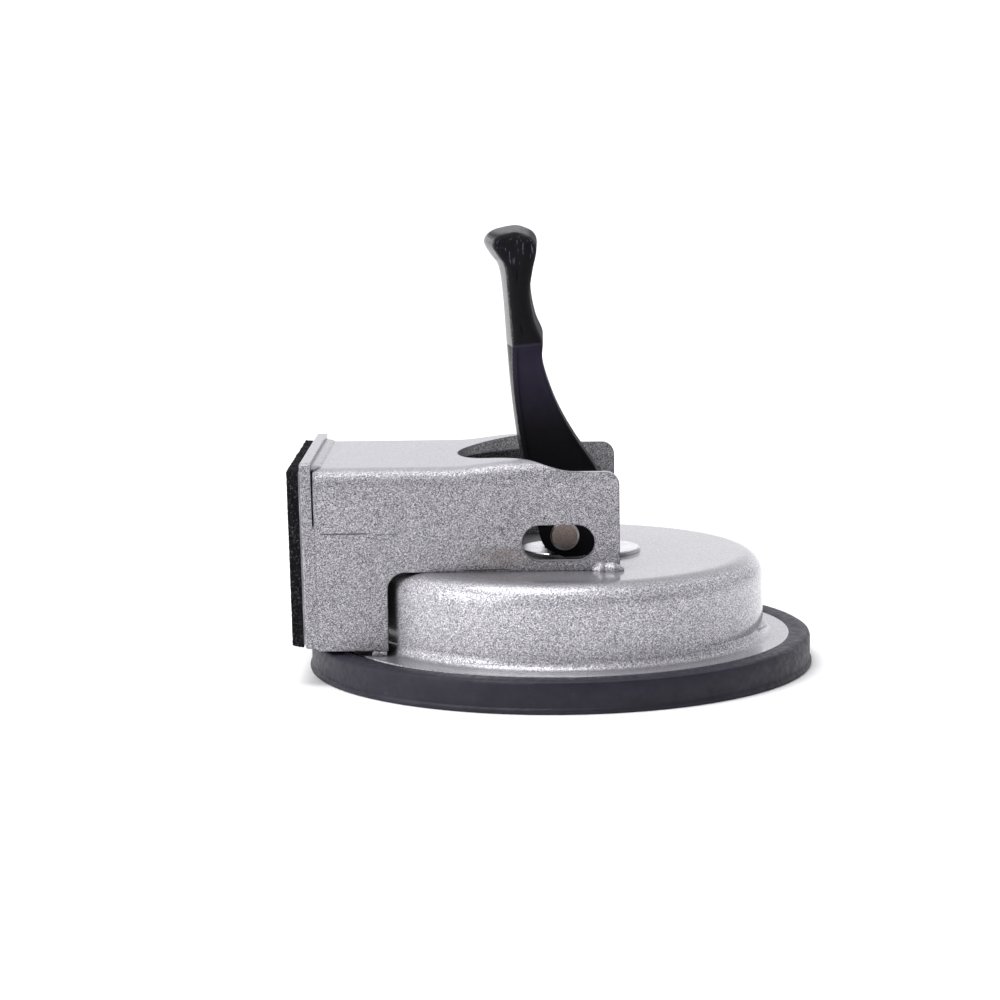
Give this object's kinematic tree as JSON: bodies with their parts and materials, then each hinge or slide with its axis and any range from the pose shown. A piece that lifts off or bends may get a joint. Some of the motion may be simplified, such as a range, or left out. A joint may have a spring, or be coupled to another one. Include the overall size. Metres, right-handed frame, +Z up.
{
  "type": "vacuum suction cup",
  "caption": "Cam-lever vacuum suction cup: pressed steel dome over a thick rubber disc, with a welded U bracket that ends in a foam-padded plate.",
  "frame": {"origin": "on the stud's axis, in the plane of the rubber cup's sealing face", "axes": "+Z up along the stud, away from the sealing face; -X towards the padded end plate; the lever locks by swinging down towards +X; +Y along the pivot pin"},
  "size_m": [0.1181, 0.1156, 0.1006],
  "materials": {
    "rubber": "satin, slightly dusty",
    "silver_paint": "silver paint with a fine sparkle",
    "adhesive": "translucent film",
    "foam": "open-cell foam, matt",
    "bright_plate": "bright plated",
    "zinc_steel": "zinc plated",
    "spring_steel": "drawn wire",
    "black_plastic": "satin moulded",
    "pin_steel": "turned end, slightly browned"
  },
  "bodies": {
    "body": {"rubber_cup": "rubber", "housing": "silver_paint", "bracket": "silver_paint", "end_plate": "silver_paint", "top_weld": "silver_paint", "side_welds": "silver_paint", "foot_welds": "silver_paint", "adhesive_sheet": "adhesive", "foam_pad": "foam", "wear_plate": "bright_plate", "return_spring": "spring_steel"},
    "stud": {"stud_disc": "zinc_steel", "stud": "zinc_steel"},
    "lever": {"cam_lever": "black_plastic", "pivot_pin": "pin_steel"}
  },
  "joints": [
    {"name": "stud_lift", "type": "slide", "parent": "body", "child": "stud", "axis": [0, 0, 1], "range_m": [0, 0.004], "deforming": ["rubber_cup", "return_spring"]},
    {"name": "lever_swing", "type": "hinge", "parent": "stud", "child": "lever", "pos_m": [0, 0, 0.0315], "axis": [0, 1, 0], "range_deg": [0, 85]}
  ],
  "couplings": [
    {"joint": "stud_lift", "follows": "lever_swing", "m_per_rad": 0.0026963}
  ]
}
